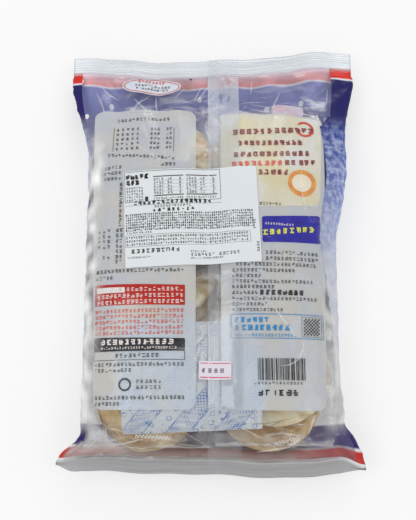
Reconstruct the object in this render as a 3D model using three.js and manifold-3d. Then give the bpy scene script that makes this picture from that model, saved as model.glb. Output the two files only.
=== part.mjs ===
// A clear film pillow bag of rice crackers, lying on its printed front with its back up, and the two
// paper labels stuck on the back. Millimetres. +Z is up and +Y runs to the top seal. The origin is
// under the middle of the bag, on the surface it lies on.
import * as THREE from "three";
import { mergeVertices } from "three/addons/utils/BufferGeometryUtils.js";
import Module from "manifold-3d";

// Driving dimensions of the bag
const flatWidth = 205; // the film tube pressed flat, as it stays at both end seals
const layers = 1.2; // the two films at a seal, drawn thick enough to be solid
const crown = 50; // height of the bag where it is fullest
const top = { edge: 146.2, seal: 132.5, full: 36, rest: 74, height: 12 };
const bottom = { edge: -146.5, seal: -138, full: -106, rest: -114, height: 17 };
const waist = { left: 87, right: 86.3 }; // half widths where the filling draws the sides in
const sideFold = 0.44; // height of the side folds, as a share of the crown's
const roundness = { back: 3.6, front: 7 }; // how square the section is above and below the folds
const press = 1.5; // how far the filling would push the front through the surface it lies on
const fin = { from: -2, to: 20, rise: 0.8, step: 0.5 }; // the back seam, folded flat to the right
const relief = { valley: 4, packets: 1.3, pitch: 46, topTuck: 3.5, bottomTuck: 6 };
const pleat = { top: 1.7, topReach: 13, bottom: 1.2, bottomReach: 7 };

// Driving dimensions of the labels: size, middle, turn in degrees, and gap under the paper
const gap = 0.3;
const infoLabel = { wide: 90, high: 67.5, x: -13, y: 19.3, turn: 2.5, thick: 0.4 };
const priceLabel = { wide: 21, high: 12, x: 2.6, y: -83.7, turn: -1, thick: 0.4 };

const half = flatWidth / 2;

// 0 at a, 1 at b, with a smooth start and end. b may lie below a.
function between(a, b, y) {
  const t = THREE.MathUtils.clamp((y - a) / (b - a), 0, 1);
  return t * t * (3 - 2 * t);
}

// A soft hump of height 1 at the middle, and about a third of that one reach away
function hump(value, middle, reach) {
  return Math.exp(-(((value - middle) / reach) ** 2));
}

// 0 at an end seal and 1 where the film has reached its full spread, rising like a quarter sine
function spread(y, topFull, bottomFull) {
  const fromTop = (top.seal - y) / (top.seal - topFull);
  const fromBottom = (y - bottom.seal) / (bottomFull - bottom.seal);
  const t = THREE.MathUtils.clamp(Math.min(fromTop, fromBottom), 0, 1);
  return Math.sin((t * Math.PI) / 2);
}

// How far each side fold stands from the middle. The right side fills out more above the waist.
function halfWidth(y, side) {
  if (side < 0) {
    const flare = Math.max(between(62, 124, y), between(-121, -138.5, y));
    return waist.left + (half - waist.left) * flare;
  }
  const shoulder = 9.7;
  const hip = 4.5;
  return (
    waist.right +
    shoulder * between(0, 62, y) +
    (half - waist.right - shoulder) * between(88, 124, y) +
    hip * between(-90, -102, y) +
    (half - waist.right - hip) * between(-121, -138, y)
  );
}

// Heights along the bag: the seals' level, the side folds, the crown and the underside
function heights(y) {
  const level = THREE.MathUtils.lerp(bottom.height, top.height, between(bottom.seal, top.seal, y));
  const full = spread(y, top.full, bottom.full);
  const down = spread(y, top.rest, bottom.rest);
  const crownHere = crown - 4 * between(-40, 70, y);
  return {
    full,
    fold: level + (sideFold * crownHere - level) * full,
    crown: level + (crownHere - level) * full,
    floor: level * (1 - down) - press * down,
  };
}

// One side's bare outline at y, as a fine line of x and z from the middle out to the side fold
function outline(y, side, isBack) {
  const h = heights(y);
  const wide = halfWidth(y, side);
  const power = isBack ? roundness.back : roundness.front;
  const peak = isBack ? h.crown : h.floor;
  const steps = 160;
  const line = [];
  for (let i = 0; i <= steps; i++) {
    const s = Math.sin((i / steps) * (Math.PI / 2));
    line.push([side * wide * s, h.fold + (peak - h.fold) * Math.sqrt(1 - s ** power)]);
  }
  return line;
}

// The point a given share of the way along a line
function along(line, share) {
  const lengths = [0];
  for (let i = 1; i < line.length; i++) {
    const stretch = Math.hypot(line[i][0] - line[i - 1][0], line[i][1] - line[i - 1][1]);
    lengths.push(lengths[i - 1] + stretch);
  }
  const goal = share * lengths.at(-1);
  let i = 1;
  while (i < line.length - 1 && lengths[i] < goal) i++;
  const t = (goal - lengths[i - 1]) / (lengths[i] - lengths[i - 1]);
  return [0, 1].map((k) => THREE.MathUtils.lerp(line[i - 1][k], line[i][k], t));
}

// The cut edges bow, because the filling draws the middle of the film in
function bow(u, y) {
  const atTop = -2.5 * hump(u, -20, 60) + 5.5 * hump(u, 76, 30);
  const atBottom = -5 * hump(u, 45, 45);
  return atTop * between(60, top.edge, y) + atBottom * between(-95, bottom.edge, y);
}

// Slow waves of the two seals, in both films at once
function sealWave(u, y) {
  const atTop = 1.8 * Math.sin(u / 15 + 0.8) * between(100, top.seal, y);
  const atBottom = 1.3 * Math.sin(u / 19) * between(-125, bottom.seal, y);
  return atTop + atBottom;
}

// Pleats that start at a seal and fade into the bag
function pleats(u, y, isBack) {
  const phase = isBack ? 0 : 1.7;
  const fade = (distance, reach) => {
    const q = Math.max(distance, 0) / reach;
    return q * Math.exp(1 - q);
  };
  const atTop = pleat.top * fade(top.seal - y, pleat.topReach);
  const atBottom = pleat.bottom * fade(y - bottom.seal, pleat.bottomReach);
  const uneven = phase + Math.sin(u / 30);
  return atTop * Math.cos(u / 4.4 + uneven) + atBottom * Math.cos(u / 5.1 + phase);
}

// Relief of the back over the filling: the valley between the two stacks of crackers, the shingled
// packets in each stack, the tucked corners and the folded seam
function backRelief(u, y) {
  const full = heights(y).full;
  const valley = -relief.valley * full * hump(u, 1, 12);
  const lap = u < 0 ? 0 : 1.9;
  const overStack = hump(Math.abs(u), 42, 26);
  const packets = relief.packets * full * overStack * Math.sin((2 * Math.PI * y) / relief.pitch + lap);
  const bottomTuck = -relief.bottomTuck * hump(Math.abs(u), 82, 10) * hump(y, -124, 8);
  const topTuck = -relief.topTuck * hump(Math.abs(u), 80, 15) * hump(y, 100, 22);
  const onSeam = u > fin.from && u < fin.to ? fin.rise : 0;
  return valley + packets + bottomTuck + topTuck + pleats(u, y, true) + onSeam;
}

// A point of the film. u is its distance across the flat film from the middle, y its place along.
function filmPoint(u, y, isBack) {
  const side = u < 0 ? -1 : 1;
  const share = Math.abs(u) / half;
  const [x, z] = along(outline(y, side, isBack), share);
  const edgeFade = Math.sqrt(1 - share ** 6);
  const rise = (isBack ? backRelief(u, y) : pleats(u, y, false)) * edgeFade;
  const lift = ((isBack ? 1 : -1) * layers) / 2;
  const height = z + lift + rise + sealWave(u, y);
  return new THREE.Vector3(x, y + bow(u, y), Math.max(0, height));
}

// Even steps from one value to another, without the last
function steps(from, to, count) {
  return Array.from({ length: count }, (_, i) => from + ((to - from) * i) / count);
}

// Places along and across the film where the solid has points, closer where it bends more
function placesAlong() {
  return [
    ...steps(top.edge, top.seal, 2),
    ...steps(top.seal, 100, 9),
    ...steps(100, top.full, 8),
    ...steps(top.full, bottom.full, 16),
    ...steps(bottom.full, bottom.seal, 11),
    ...steps(bottom.seal, bottom.edge, 1),
    bottom.edge,
  ];
}

function placesAcross() {
  return [
    ...steps(-half, -76, 5),
    ...steps(-76, fin.from, 14),
    fin.from,
    ...steps(fin.from + fin.step, fin.to - fin.step, 3),
    fin.to - fin.step,
    ...steps(fin.to, 76, 11),
    ...steps(76, half, 5),
    half,
  ];
}

// The bag: rings of points round the film, back then front, joined along the bag and closed at the seals
function bagGeometry() {
  const ys = placesAlong();
  const us = placesAcross();
  const across = us.length;
  const ring = 2 * across;
  const points = [];
  for (const y of ys) {
    for (const u of us) points.push(filmPoint(u, y, true));
    for (const u of [...us].reverse()) points.push(filmPoint(u, y, false));
  }
  const triangles = [];
  const quad = (a, b, c, d) => triangles.push(a, b, c, a, c, d);
  for (let j = 0; j < ys.length - 1; j++) {
    for (let i = 0; i < ring; i++) {
      const next = (i + 1) % ring;
      quad(j * ring + i, (j + 1) * ring + i, (j + 1) * ring + next, j * ring + next);
    }
  }
  const last = (ys.length - 1) * ring;
  for (let i = 0; i < across - 1; i++) {
    const opposite = ring - 1 - i;
    quad(i, i + 1, opposite - 1, opposite);
    quad(last + opposite, last + opposite - 1, last + i + 1, last + i);
  }
  return new THREE.BufferGeometry().setFromPoints(points).setIndex(triangles);
}

const wasm = await Module();
wasm.setup();

// A closed geometry as a solid that can be cut and joined
function solidOf(geometry) {
  const bare = geometry.clone();
  bare.deleteAttribute("normal");
  bare.deleteAttribute("uv");
  const merged = mergeVertices(bare, 1e-4);
  return new wasm.Manifold(
    new wasm.Mesh({
      numProp: 3,
      vertProperties: merged.attributes.position.array,
      triVerts: new Uint32Array(merged.index.array),
    }),
  );
}

function geometryOf(solid) {
  const mesh = solid.getMesh();
  return new THREE.BufferGeometry()
    .setAttribute("position", new THREE.BufferAttribute(mesh.vertProperties, 3))
    .setIndex(new THREE.BufferAttribute(mesh.triVerts, 1));
}

// A paper label that follows the bag's back: what lies between two lifted copies of the bag, inside
// the label's outline
function labelGeometry(bag, label) {
  const block = new THREE.BoxGeometry(label.wide, label.high, 2 * crown);
  block.rotateZ(THREE.MathUtils.degToRad(label.turn));
  block.translate(label.x, label.y, crown);
  const paper = solidOf(block)
    .intersect(bag.translate([0, 0, gap + label.thick]))
    .subtract(bag.translate([0, 0, gap]));
  return geometryOf(paper);
}

function piece(name, geometry, colour, roughness) {
  const material = new THREE.MeshStandardMaterial({ color: colour, roughness, metalness: 0 });
  const mesh = new THREE.Mesh(geometry, material);
  mesh.name = name;
  return mesh;
}

const film = bagGeometry();
const bagSolid = solidOf(film);

const pack = new THREE.Group();
pack.add(
  piece("bag", film, 0xd3d4d8, 0.2),
  piece("info_label", labelGeometry(bagSolid, infoLabel), 0xe3e7ea, 0.6),
  piece("price_label", labelGeometry(bagSolid, priceLabel), 0xe9dfe8, 0.6),
);

export default pack;
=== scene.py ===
# A sealed clear bag of wrapped rice crackers, lying on its printed front with its labelled back up.
# Sizes are in millimetres and turn into metres where a mesh is made. +Y runs to the top seal.
import math
import random
from functools import partial
import bmesh
import bpy
import numpy as np
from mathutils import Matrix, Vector, noise
from mathutils.bvhtree import BVHTree


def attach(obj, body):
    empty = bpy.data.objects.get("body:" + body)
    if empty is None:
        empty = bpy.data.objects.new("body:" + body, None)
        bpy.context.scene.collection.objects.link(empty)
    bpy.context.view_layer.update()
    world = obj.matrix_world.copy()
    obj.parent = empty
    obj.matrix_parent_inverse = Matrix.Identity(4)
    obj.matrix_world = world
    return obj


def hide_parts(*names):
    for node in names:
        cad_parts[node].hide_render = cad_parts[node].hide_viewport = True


mm = 0.001
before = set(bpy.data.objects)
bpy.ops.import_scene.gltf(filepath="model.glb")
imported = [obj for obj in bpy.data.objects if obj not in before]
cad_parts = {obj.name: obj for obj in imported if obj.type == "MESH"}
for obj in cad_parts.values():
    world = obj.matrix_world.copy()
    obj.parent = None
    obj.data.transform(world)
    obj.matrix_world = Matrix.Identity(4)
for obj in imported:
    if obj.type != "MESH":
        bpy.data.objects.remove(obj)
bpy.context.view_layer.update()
bpy.ops.object.select_all(action="DESELECT")
bpy.context.scene.cycles.transparent_max_bounces = 64  # a line of sight crosses many layers of film
print("frame loaded")


# An sRGB hex colour as the linear colour that a shader takes
def linear(code):
    parts = [int(code[i:i + 2], 16) / 255 for i in (1, 3, 5)]
    return [c / 12.92 if c <= 0.04045 else ((c + 0.055) / 1.055) ** 2.4 for c in parts] + [1.0]


# Adds a node. Each setting is one of its properties, a socket's value, or what feeds a socket. That is an
# output, or a node whose first output is meant.
def addNode(tree, kind, settings=()):
    node = tree.nodes.new("ShaderNode" + kind)
    for key, value in dict(settings).items():
        if isinstance(value, bpy.types.Node):
            value = value.outputs[0]
        if isinstance(key, str) and hasattr(node, key):
            setattr(node, key, value)
        elif isinstance(value, bpy.types.NodeSocket):
            tree.links.new(value, node.inputs[key])
        else:
            node.inputs[key].default_value = value
    return node


# An empty material, and addNode for its nodes
def newMaterial(name):
    material = bpy.data.materials.new(name)
    material.use_nodes = True
    material.node_tree.nodes.clear()
    return material, partial(addNode, material.node_tree)


# Ends a material. Where cover is given, the surface shows what is behind it by one less cover.
def finishMaterial(material, surface, cover=None, tint="#FFFFFF"):
    tree = material.node_tree
    if cover is not None:
        clear = addNode(tree, "BsdfTransparent", {"Color": linear(tint)})
        surface = addNode(tree, "MixShader", {0: cover, 1: clear, 2: surface})
    addNode(tree, "OutputMaterial", {"Surface": surface})
    return material


# A colour ramp from places in millimetres to colours
def addRamp(add, feed, low, high, stops):
    share = add("MapRange", {"Value": feed, "From Min": low, "From Max": high})
    ramp = add("ValToRGB", {"Fac": share})
    points = ramp.color_ramp.elements
    while len(points) < len(stops):
        points.new(0.5)
    for point, (place, colour) in zip(points, stops):
        point.position = (place - low) / (high - low)
        point.color = linear(colour)
    return ramp


# A colour ramp from the bag's bottom edge to its top edge
def addRampAlong(add, along, stops):
    return addRamp(add, along, bag["bottom"]["edge"], bag["top"]["edge"], stops)


def activate(piece):
    bpy.ops.object.select_all(action="DESELECT")
    piece.select_set(True)
    bpy.context.view_layer.objects.active = piece


# Settles a finished piece: its material, smooth shading, the body it rides on and the slot it takes
def settle(piece, material, angle=180, replaced="bag"):
    activate(piece)
    piece.data.materials.clear()
    piece.data.materials.append(material)
    bpy.ops.object.shade_smooth_by_angle(angle=math.radians(angle))
    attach(piece, "root")
    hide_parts(replaced)
    return piece


def pointsOf(piece):
    flat = np.empty(len(piece.data.vertices) * 3)
    piece.data.vertices.foreach_get("co", flat)
    return flat.reshape(-1, 3) / mm


def movePoints(piece, places):
    piece.data.vertices.foreach_set("co", (places * mm).ravel())
    piece.data.update()


def valuesOf(piece, title):
    values = np.empty(len(piece.data.vertices), np.float32)
    piece.data.attributes[title].data.foreach_get("value", values)
    return values


# Gives the points of a piece an attribute for each title, which its material reads
def addValues(piece, table):
    for title, values in table.items():
        attribute = piece.data.attributes.new(title, "FLOAT", "POINT")
        attribute.data.foreach_set("value", values.astype(np.float32))


# A grid of columns by rows of faces. place(column, row) gives its points, in millimetres, and a table of
# attributes for them.
def shapedGrid(name, columns, rows, place):
    bpy.ops.mesh.primitive_grid_add(x_subdivisions=columns, y_subdivisions=rows, size=1)
    piece = bpy.context.object
    piece.name = piece.data.name = name
    share = pointsOf(piece) * mm + 0.5
    column = np.rint(share[:, 0] * columns).astype(int)
    row = np.rint(share[:, 1] * rows).astype(int)
    places, table = place(column, row)
    movePoints(piece, places)
    addValues(piece, table)
    return piece


# Closes a grid whose edges meet, and turns its faces outwards
def mergeDoubles(piece, gap=0.02):
    activate(piece)
    bpy.ops.object.mode_set(mode="EDIT")
    bpy.ops.mesh.select_all(action="SELECT")
    bpy.ops.mesh.remove_doubles(threshold=gap * mm)
    bpy.ops.mesh.normals_make_consistent(inside=False)
    if bmesh.from_edit_mesh(piece.data).calc_volume(signed=True) < 0:
        bpy.ops.mesh.flip_normals()
    bpy.ops.object.mode_set(mode="OBJECT")


# Moves each point along its normal by that many millimetres, and no lower than the given height
def displace(piece, amounts, lowest=None):
    normals = np.empty(len(piece.data.vertices) * 3, np.float32)
    piece.data.vertex_normals.foreach_get("vector", normals)
    places = pointsOf(piece) + normals.reshape(-1, 3) * np.reshape(amounts, (-1, 1))
    if lowest is not None:
        places[:, 2] = np.maximum(places[:, 2], lowest)
    movePoints(piece, places)


# Gives an open sheet a wall, above it for 1 and below it for -1
def thicken(piece, thick, side):
    wall = piece.modifiers.new("wall", "SOLIDIFY")
    wall.thickness = thick * mm
    wall.offset = side
    activate(piece)
    bpy.ops.object.modifier_apply(modifier=wall.name)


# From 0 at a to 1 at b, with a smooth start and end. b may lie below a.
def ease(a, b, value):
    t = np.clip((value - a) / (b - a), 0, 1)
    return t * t * (3 - 2 * t)


# A soft hump of height 1 at the middle
def hump(value, middle, reach):
    return np.exp(-((value - middle) / reach) ** 2)


# A crease pattern from -1 to 1 with sharp ridges. size is the distance between creases.
def creases(a, b, size, seed):
    return 1 - 2.6 * np.array([abs(noise.noise((x, y, seed))) for x, y in zip(a / size, b / size)])


# Places from stop to stop, each stop with the spacing that follows it
def stations(stops):
    places = []
    for (start, step), (end, _) in zip(stops, stops[1:]):
        places.extend(np.linspace(start, end, round(abs(end - start) / step), endpoint=False))
    return np.array(places + [stops[-1][0]])


# The outer film, in flat coordinates: across is the distance from the middle and along is the place
# along the bag. Its form is that of the bag's solid.
bag = {
    "half": 102.5,
    "gap": 0.15,  # from the middle of a seal to each film
    "crown": 50,
    "top": {"edge": 146.2, "seal": 132.5, "full": 36, "rest": 74, "height": 12},
    "bottom": {"edge": -146.5, "seal": -138, "full": -106, "rest": -114, "height": 17},
    "waist": {"left": 85.6, "right": 85.6, "shoulder": 9.9, "hip": 1.6, "topLeft": 100.2},
    "sideFold": 0.44,
    "roundness": {"back": 3.6, "front": 7},
    "press": 1.5,
    "relief": {"valley": 4, "packets": 1.3, "pitch": 46, "topTuck": 3.5, "bottomTuck": 6},
    "rib": {"pitch": 1.55, "height": 0.16},
    "floor": 0.35,  # the front's film lies this far above what the bag rests on
    "pleat": {"top": 1.7, "topReach": 13, "topPitch": 4.4,
              "bottom": 1.2, "bottomReach": 7, "bottomPitch": 5.1},
    "wave": {"top": 1.8, "topPitch": 15, "bottom": 1.3, "bottomPitch": 19},
    # How far from the middle the front's print comes round to the back, at places along the bag
    "wrapLeft": [(-131, 99), (-127, 93), (-114, 93), (-104, 95)],
    "wrapRight": [(-110, 95), (5, 78), (88, 78), (97, 86)],
    "printTop": 135.2,
    "printBottom": -136.5,
}
# How far apart the film's creases lie and how high they stand
folds = {
    "long": {"apart": 34, "high": 0.85, "reach": 32},
    "soft": {"apart": 38, "high": 0.42},
    "short": {"apart": 15, "high": 0.5},
    "fine": {"apart": 9, "high": 0.1, "nearEnds": 0.14, "atSides": 0.1},
}
fin = {"from": -2, "crimp": 5.4, "to": 20, "lift": 0.15, "thick": 0.2, "ribPitch": 1.1, "rib": 0.13,
       "footLeft": -147.5, "footRight": -151.5, "head": 147}
sachet = {"wide": 90, "high": 70, "x": -13.4, "y": -87.2, "turn": 2.3, "under": 1.1, "puff": 3.2,
          "columns": 60, "rows": 46}
infoLabel = {"wide": 90, "high": 67.5, "x": -13, "y": 19.3, "turn": 2.5, "lift": 0.25, "thick": 0.12}
priceLabel = {"wide": 21, "high": 12, "x": 2.6, "y": -83.7, "turn": -1, "lift": 0.25, "thick": 0.1}


# How far each side fold stands from the middle
def halfWidthAt(y, side):
    waist = bag["waist"]
    if side < 0:
        spare = bag["half"] - waist["left"]
        upper = (waist["topLeft"] - waist["left"]) * ease(66, 130, y)
        return waist["left"] + np.maximum(upper, spare * ease(-122, -139, y))
    spare = bag["half"] - waist["right"]
    upper = waist["shoulder"] * ease(0, 62, y) + (spare - waist["shoulder"]) * ease(88, 124, y)
    lower = waist["hip"] * ease(-90, -102, y) + (spare - waist["hip"]) * ease(-113, -138, y)
    return waist["right"] + upper + lower


# 0 at an end seal and 1 where the film has reached its full spread
def spreadAt(y, topFull, bottomFull):
    top = bag["top"]["seal"]
    bottom = bag["bottom"]["seal"]
    share = min((top - y) / (top - topFull), (y - bottom) / (bottomFull - bottom))
    return math.sin(np.clip(share, 0, 1) * math.pi / 2)


# The bag's heights at y: the seals' level, the crown, the side folds and the underside
def heightsAt(y):
    top = bag["top"]
    bottom = bag["bottom"]
    level = bottom["height"] + (top["height"] - bottom["height"]) * ease(bottom["seal"], top["seal"], y)
    full = spreadAt(y, top["full"], bottom["full"])
    down = spreadAt(y, top["rest"], bottom["rest"])
    crown = bag["crown"] - 4 * ease(-40, 70, y)
    return {
        "full": full,
        "crown": level + (crown - level) * full,
        "fold": level + (bag["sideFold"] * crown - level) * full,
        "floor": level * (1 - down) - bag["press"] * down,
    }


# x and z across the film at one y, for flat places across
def filmRow(y, across, isBack):
    heights = heightsAt(y)
    x = np.zeros(len(across))
    z = np.zeros(len(across))
    turn = np.sin(np.linspace(0, math.pi / 2, 161))
    peak = heights["crown"] if isBack else heights["floor"]
    power = bag["roundness"]["back" if isBack else "front"]
    for side in (-1, 1):
        chosen = across * side >= 0
        lineX = side * halfWidthAt(y, side) * turn
        lineZ = heights["fold"] + (peak - heights["fold"]) * np.sqrt(1 - turn ** power)
        run = np.concatenate([[0], np.cumsum(np.hypot(np.diff(lineX), np.diff(lineZ)))])
        share = np.abs(across[chosen]) / bag["half"] * run[-1]
        x[chosen] = np.interp(share, run, lineX)
        z[chosen] = np.interp(share, run, lineZ)
    return x, z


# Pleats that start at a seal and fade into the bag
def pleatsAt(across, y, isBack):
    pleat = bag["pleat"]
    phase = 0 if isBack else 1.7

    def fade(distance, reach):
        q = np.maximum(distance, 0) / reach
        return q * np.exp(1 - q)
    atTop = pleat["top"] * fade(bag["top"]["seal"] - y, pleat["topReach"])
    atTop = atTop * np.cos(across / pleat["topPitch"] + phase + np.sin(across / 30))
    atBottom = pleat["bottom"] * fade(y - bag["bottom"]["seal"], pleat["bottomReach"])
    return atTop + atBottom * np.cos(across / pleat["bottomPitch"] + phase)


# The back over the filling: the packets of the two stacks, the valley between them, the tucked corners
def backReliefAt(across, y):
    relief = bag["relief"]
    full = heightsAt(y)["full"]
    off = np.abs(across)
    lap = np.where(across < 0, 0, 1.9)
    packets = relief["packets"] * full * hump(off, 42, 26) * np.sin(2 * math.pi * y / relief["pitch"] + lap)
    tucks = relief["bottomTuck"] * hump(off, 82, 10) * hump(y, -124, 8)
    tucks = tucks + relief["topTuck"] * hump(off, 80, 15) * hump(y, 100, 22)
    return packets - relief["valley"] * full * hump(across, 1, 12) - tucks + pleatsAt(across, y, True)


# How far the film is drawn along the bag: its cut edges bow and wave, and its lower corners are tucked in
def bowAt(across, y):
    top = bag["top"]
    bottom = bag["bottom"]
    atTop = 2.3 + 5.5 * hump(across, 76, 30) - 2.5 * hump(across, -20, 60) + 0.35 * np.sin(across / 5.3)
    atBottom = -5 * hump(across, 45, 45) - 2.2 * hump(across, -32, 32) + 0.35 * np.sin(across / 6.1)
    ear = ease(84, bag["half"], np.abs(across))
    tuck = np.where(across < 0, 3.5, 6.5) * ear * ease(-118, bottom["seal"], y)
    trim = np.where(across < 0, 6.5 * ear, 8.2) * ear * ease(bottom["seal"], bottom["edge"], y)
    return atTop * ease(60, top["edge"], y) + atBottom * ease(-95, bottom["edge"], y) - tuck + trim


# Slow waves of the two seals, in both films at once
def sealWaveAt(across, y):
    wave = bag["wave"]
    atTop = wave["top"] * np.sin(across / wave["topPitch"] + 0.8) * ease(100, bag["top"]["seal"], y)
    atBottom = wave["bottom"] * np.sin(across / wave["bottomPitch"])
    return atTop + atBottom * ease(-125, bag["bottom"]["seal"], y)


# 1 in the seals and 0 in the bag's body
def inSeals(y):
    return np.maximum(ease(bag["top"]["seal"] - 1, bag["top"]["seal"] + 1, y),
                      ease(bag["bottom"]["seal"] + 1, bag["bottom"]["seal"] - 1, y))


# 1 under a label and 0 from a few millimetres outside it
def under(label, x, y):
    turn = math.radians(label["turn"])
    dx = x - label["x"]
    dy = y - label["y"]
    a = np.abs(dx * math.cos(turn) + dy * math.sin(turn)) - label["wide"] / 2
    b = np.abs(dy * math.cos(turn) - dx * math.sin(turn)) - label["high"] / 2
    return ease(4, 0, np.maximum(a, b))


# How far the film's creases stand out: long ones from the seals, soft ones all over, short ones at the
# sides, and fine crinkles
def creaseHeights(x, y, across, isFront):
    aside = 400 * np.where(isFront > 0.5, 7.3, 1.1)  # so that the front and the back crease in their own ways
    toEnd = np.minimum(bag["top"]["seal"] - y, y - bag["bottom"]["seal"])
    nearEnds = np.exp(-np.maximum(toEnd, 0) / folds["long"]["reach"])
    sides = ease(66, 96, np.abs(across))
    sway = across + 6 * np.sin(y / 31)
    flat = across + aside
    lean = np.sign(across) * ease(10, 70, np.abs(across)) * 0.8
    long = creases((sway + lean * toEnd) * 2.8 + aside, y, folds["long"]["apart"], 2.7)
    long = long * nearEnds * folds["long"]["high"]
    soft = creases(flat, y * 1.35, folds["soft"]["apart"], 5.2) * folds["soft"]["high"]
    short = creases(flat * 0.45, y * 1.6, folds["short"]["apart"], 9.4) * sides * folds["short"]["high"]
    fineHere = folds["fine"]["high"] + folds["fine"]["nearEnds"] * nearEnds + folds["fine"]["atSides"] * sides
    fine = creases(flat, y, folds["fine"]["apart"], 3.9) * fineHere
    calm = 1 - 0.85 * np.maximum(under(infoLabel, x, y), under(priceLabel, x, y)) * (isFront < 0.5)
    return (long + soft + short + fine) * calm * (1 - 0.93 * inSeals(y))


# How milky the film is, and how much of it may take white wisps, both from 0 to 1. It is milky in the seals,
# at the side folds, above the bottom seal, in the corner beside the lowest left cracker, and down the middle,
# where it is a painted highlight for glare, most over the sachet. The wisps stand for crumpled film and are
# painted highlights for its glints near both ends, with painted glare below the panels.
def milkAt(x, y, z, across, along, front):
    sealed = 0.012 + 0.39 * ease(132.2, 133.8, along)
    sealed = np.maximum(sealed, 0.52 * ease(-135, -139, along))
    onLeft = 0.6 * ease(-72, -88, across)
    onRight = 0.42 * ease(74, 84, across) * (1 - 0.5 * ease(88, 94, across) * ease(0, 30, along))
    worn = np.where(across < 0, np.interp(along, [-124, -112, -30, 60, 102], [0, 0.75, 1, 1, 0]),
                    np.interp(along, [-124, -112, -30, 30, 90], [0, 0.75, 0.85, 0.35, 0]))
    patchy = 0.85 + np.array([noise.noise((a / 9, b / 9, c / 9)) for a, b, c in zip(x, y, z)])
    atFolds = np.maximum(onLeft, onRight) * worn * patchy
    inner = np.maximum(ease(-95, -88, across), ease(-101, -97, across) * ease(-126, -131, along))
    foot = 0.4 * ease(-129, -138, along) * inner * np.interp(across, [52, 78], [1, 0.2])
    beside = ease(34, 41, np.hypot(x + 42, y + 96.5)) * ease(-20, -52, x) * ease(-108, -120, y)
    corner = 0.37 * beside * inner * ease(-139.5, -137, along)
    # Down the middle: painted highlight for glare, strongest over the sachet
    middle = np.interp(along, [-92, -66, -44, -10, 60, 95], [0, 0.3, 0.08, 0.08, 0.2, 0])
    middle = middle * hump(across, 2, 14)
    haze = np.maximum.reduce([sealed, atFolds, foot, corner, middle])
    # White wisps for crumpled film: painted highlights for the glints of its crinkles, most just below the
    # top seal
    crumpled = np.interp(along, [-136, -112, -104, 90, 101, 112, 130],
                         [0.35, 0.28, 0.05, 0.08, 0.87, 0.43, 0.22])
    crumpled = crumpled * (1 - 0.8 * hump(across, 3, 18) * ease(-106, -114, along))
    # Painted glare below the panels, over the sachet
    glare = 1.3 * hump(across, 6, 30) * hump(along, -68, 13)
    return haze, np.maximum(crumpled, glare) * ease(86, 80, np.abs(across)) * (front < 0.5)


# Tables of places for the grid: rows run along the bag, and columns run round it, back first
def makeFilm():
    half = bag["half"]
    top = bag["top"]
    bottom = bag["bottom"]
    backAcross = stations([(-half, 1.1), (-90, 1.4), (fin["from"], 0.28), (fin["crimp"], 1.4),
                           (76, 1.1), (half, 0)])
    across = np.concatenate([backAcross, backAcross[-2::-1]])
    isFront = np.arange(len(across)) >= len(backAcross)
    along = stations([(bottom["edge"], 0.39), (bottom["seal"], 1.2), (-110, 1.5), (100, 1.2),
                      (top["seal"], 0.39), (top["edge"], 0)])
    tableX = np.zeros((len(along), len(across)))
    tableY = np.zeros_like(tableX)
    tableZ = np.zeros_like(tableX)
    for row, y in enumerate(along):
        for front in (False, True):
            chosen = isFront == front
            a = across[chosen]
            fade = np.sqrt(1 - (np.abs(a) / half) ** 6)
            x, z = filmRow(y, a, not front)
            relief = pleatsAt(a, y, False) if front else backReliefAt(a, y)
            atEdge = 0 if row in (0, len(along) - 1) else bag["gap"]
            rib = bag["rib"]["height"] * math.sin(2 * math.pi * y / bag["rib"]["pitch"]) * inSeals(y)
            lift = (-1 if front else 1) * atEdge * fade
            tableX[row, chosen] = x
            tableY[row, chosen] = y + bowAt(a, y)
            height = z + lift + relief * fade * (1 - inSeals(y)) + sealWaveAt(a, y) + rib
            tableZ[row, chosen] = np.maximum(height, bag["floor"])

    def place(column, row):
        spots = np.stack([tableX[row, column], tableY[row, column], tableZ[row, column]], axis=1)
        return spots, {"across": across[column], "along": along[row], "front": isFront[column].astype(float)}
    film = shapedGrid("film", len(across) - 1, len(along) - 1, place)
    mergeDoubles(film)
    places = pointsOf(film)
    heights = creaseHeights(places[:, 0], places[:, 1], valuesOf(film, "across"), valuesOf(film, "front"))
    displace(film, heights, bag["floor"])
    x, y, z = pointsOf(film).T
    across, along, front = (valuesOf(film, title) for title in ("across", "along", "front"))
    haze, crumpled = milkAt(x, y, z, across, along, front)
    addValues(film, {"haze": haze, "crumpled": crumpled})
    return film


# A copy of part of the film: the points that keep says, moved along their normals
def peel(name, source, keep, lift):
    piece = bpy.data.objects.new(name, source.data.copy())
    piece.data.name = name
    bpy.context.collection.objects.link(piece)
    activate(piece)
    displace(piece, np.full(len(keep), float(lift)))
    bpy.ops.object.mode_set(mode="EDIT")
    bpy.ops.mesh.select_mode(type="VERT")
    bpy.ops.mesh.select_all(action="DESELECT")
    bpy.ops.object.mode_set(mode="OBJECT")
    piece.data.vertices.foreach_set("select", ~keep)
    bpy.ops.object.mode_set(mode="EDIT")
    bpy.ops.mesh.delete(type="VERT")
    bpy.ops.object.mode_set(mode="OBJECT")
    return piece


# A convex field cut out of the film's back along upright planes through its outline's sides
def cutField(name, outline, lift, spare=3):
    places = pointsOf(backSheet)
    xs = [x for x, _ in outline]
    ys = [y for _, y in outline]
    near = (places[:, 0] > min(xs) - spare) & (places[:, 0] < max(xs) + spare)
    near &= (places[:, 1] > min(ys) - spare) & (places[:, 1] < max(ys) + spare)
    piece = peel(name, backSheet, near, lift)
    bpy.ops.object.mode_set(mode="EDIT")
    for (x, y), (nextX, nextY) in zip(outline, outline[1:] + outline[:1]):
        bpy.ops.mesh.select_all(action="SELECT")
        outward = Vector((nextY - y, x - nextX, 0)).normalized()
        bpy.ops.mesh.bisect(plane_co=(x * mm, y * mm, 0), plane_no=outward, clear_outer=True)
    bpy.ops.object.mode_set(mode="OBJECT")
    return piece


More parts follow.
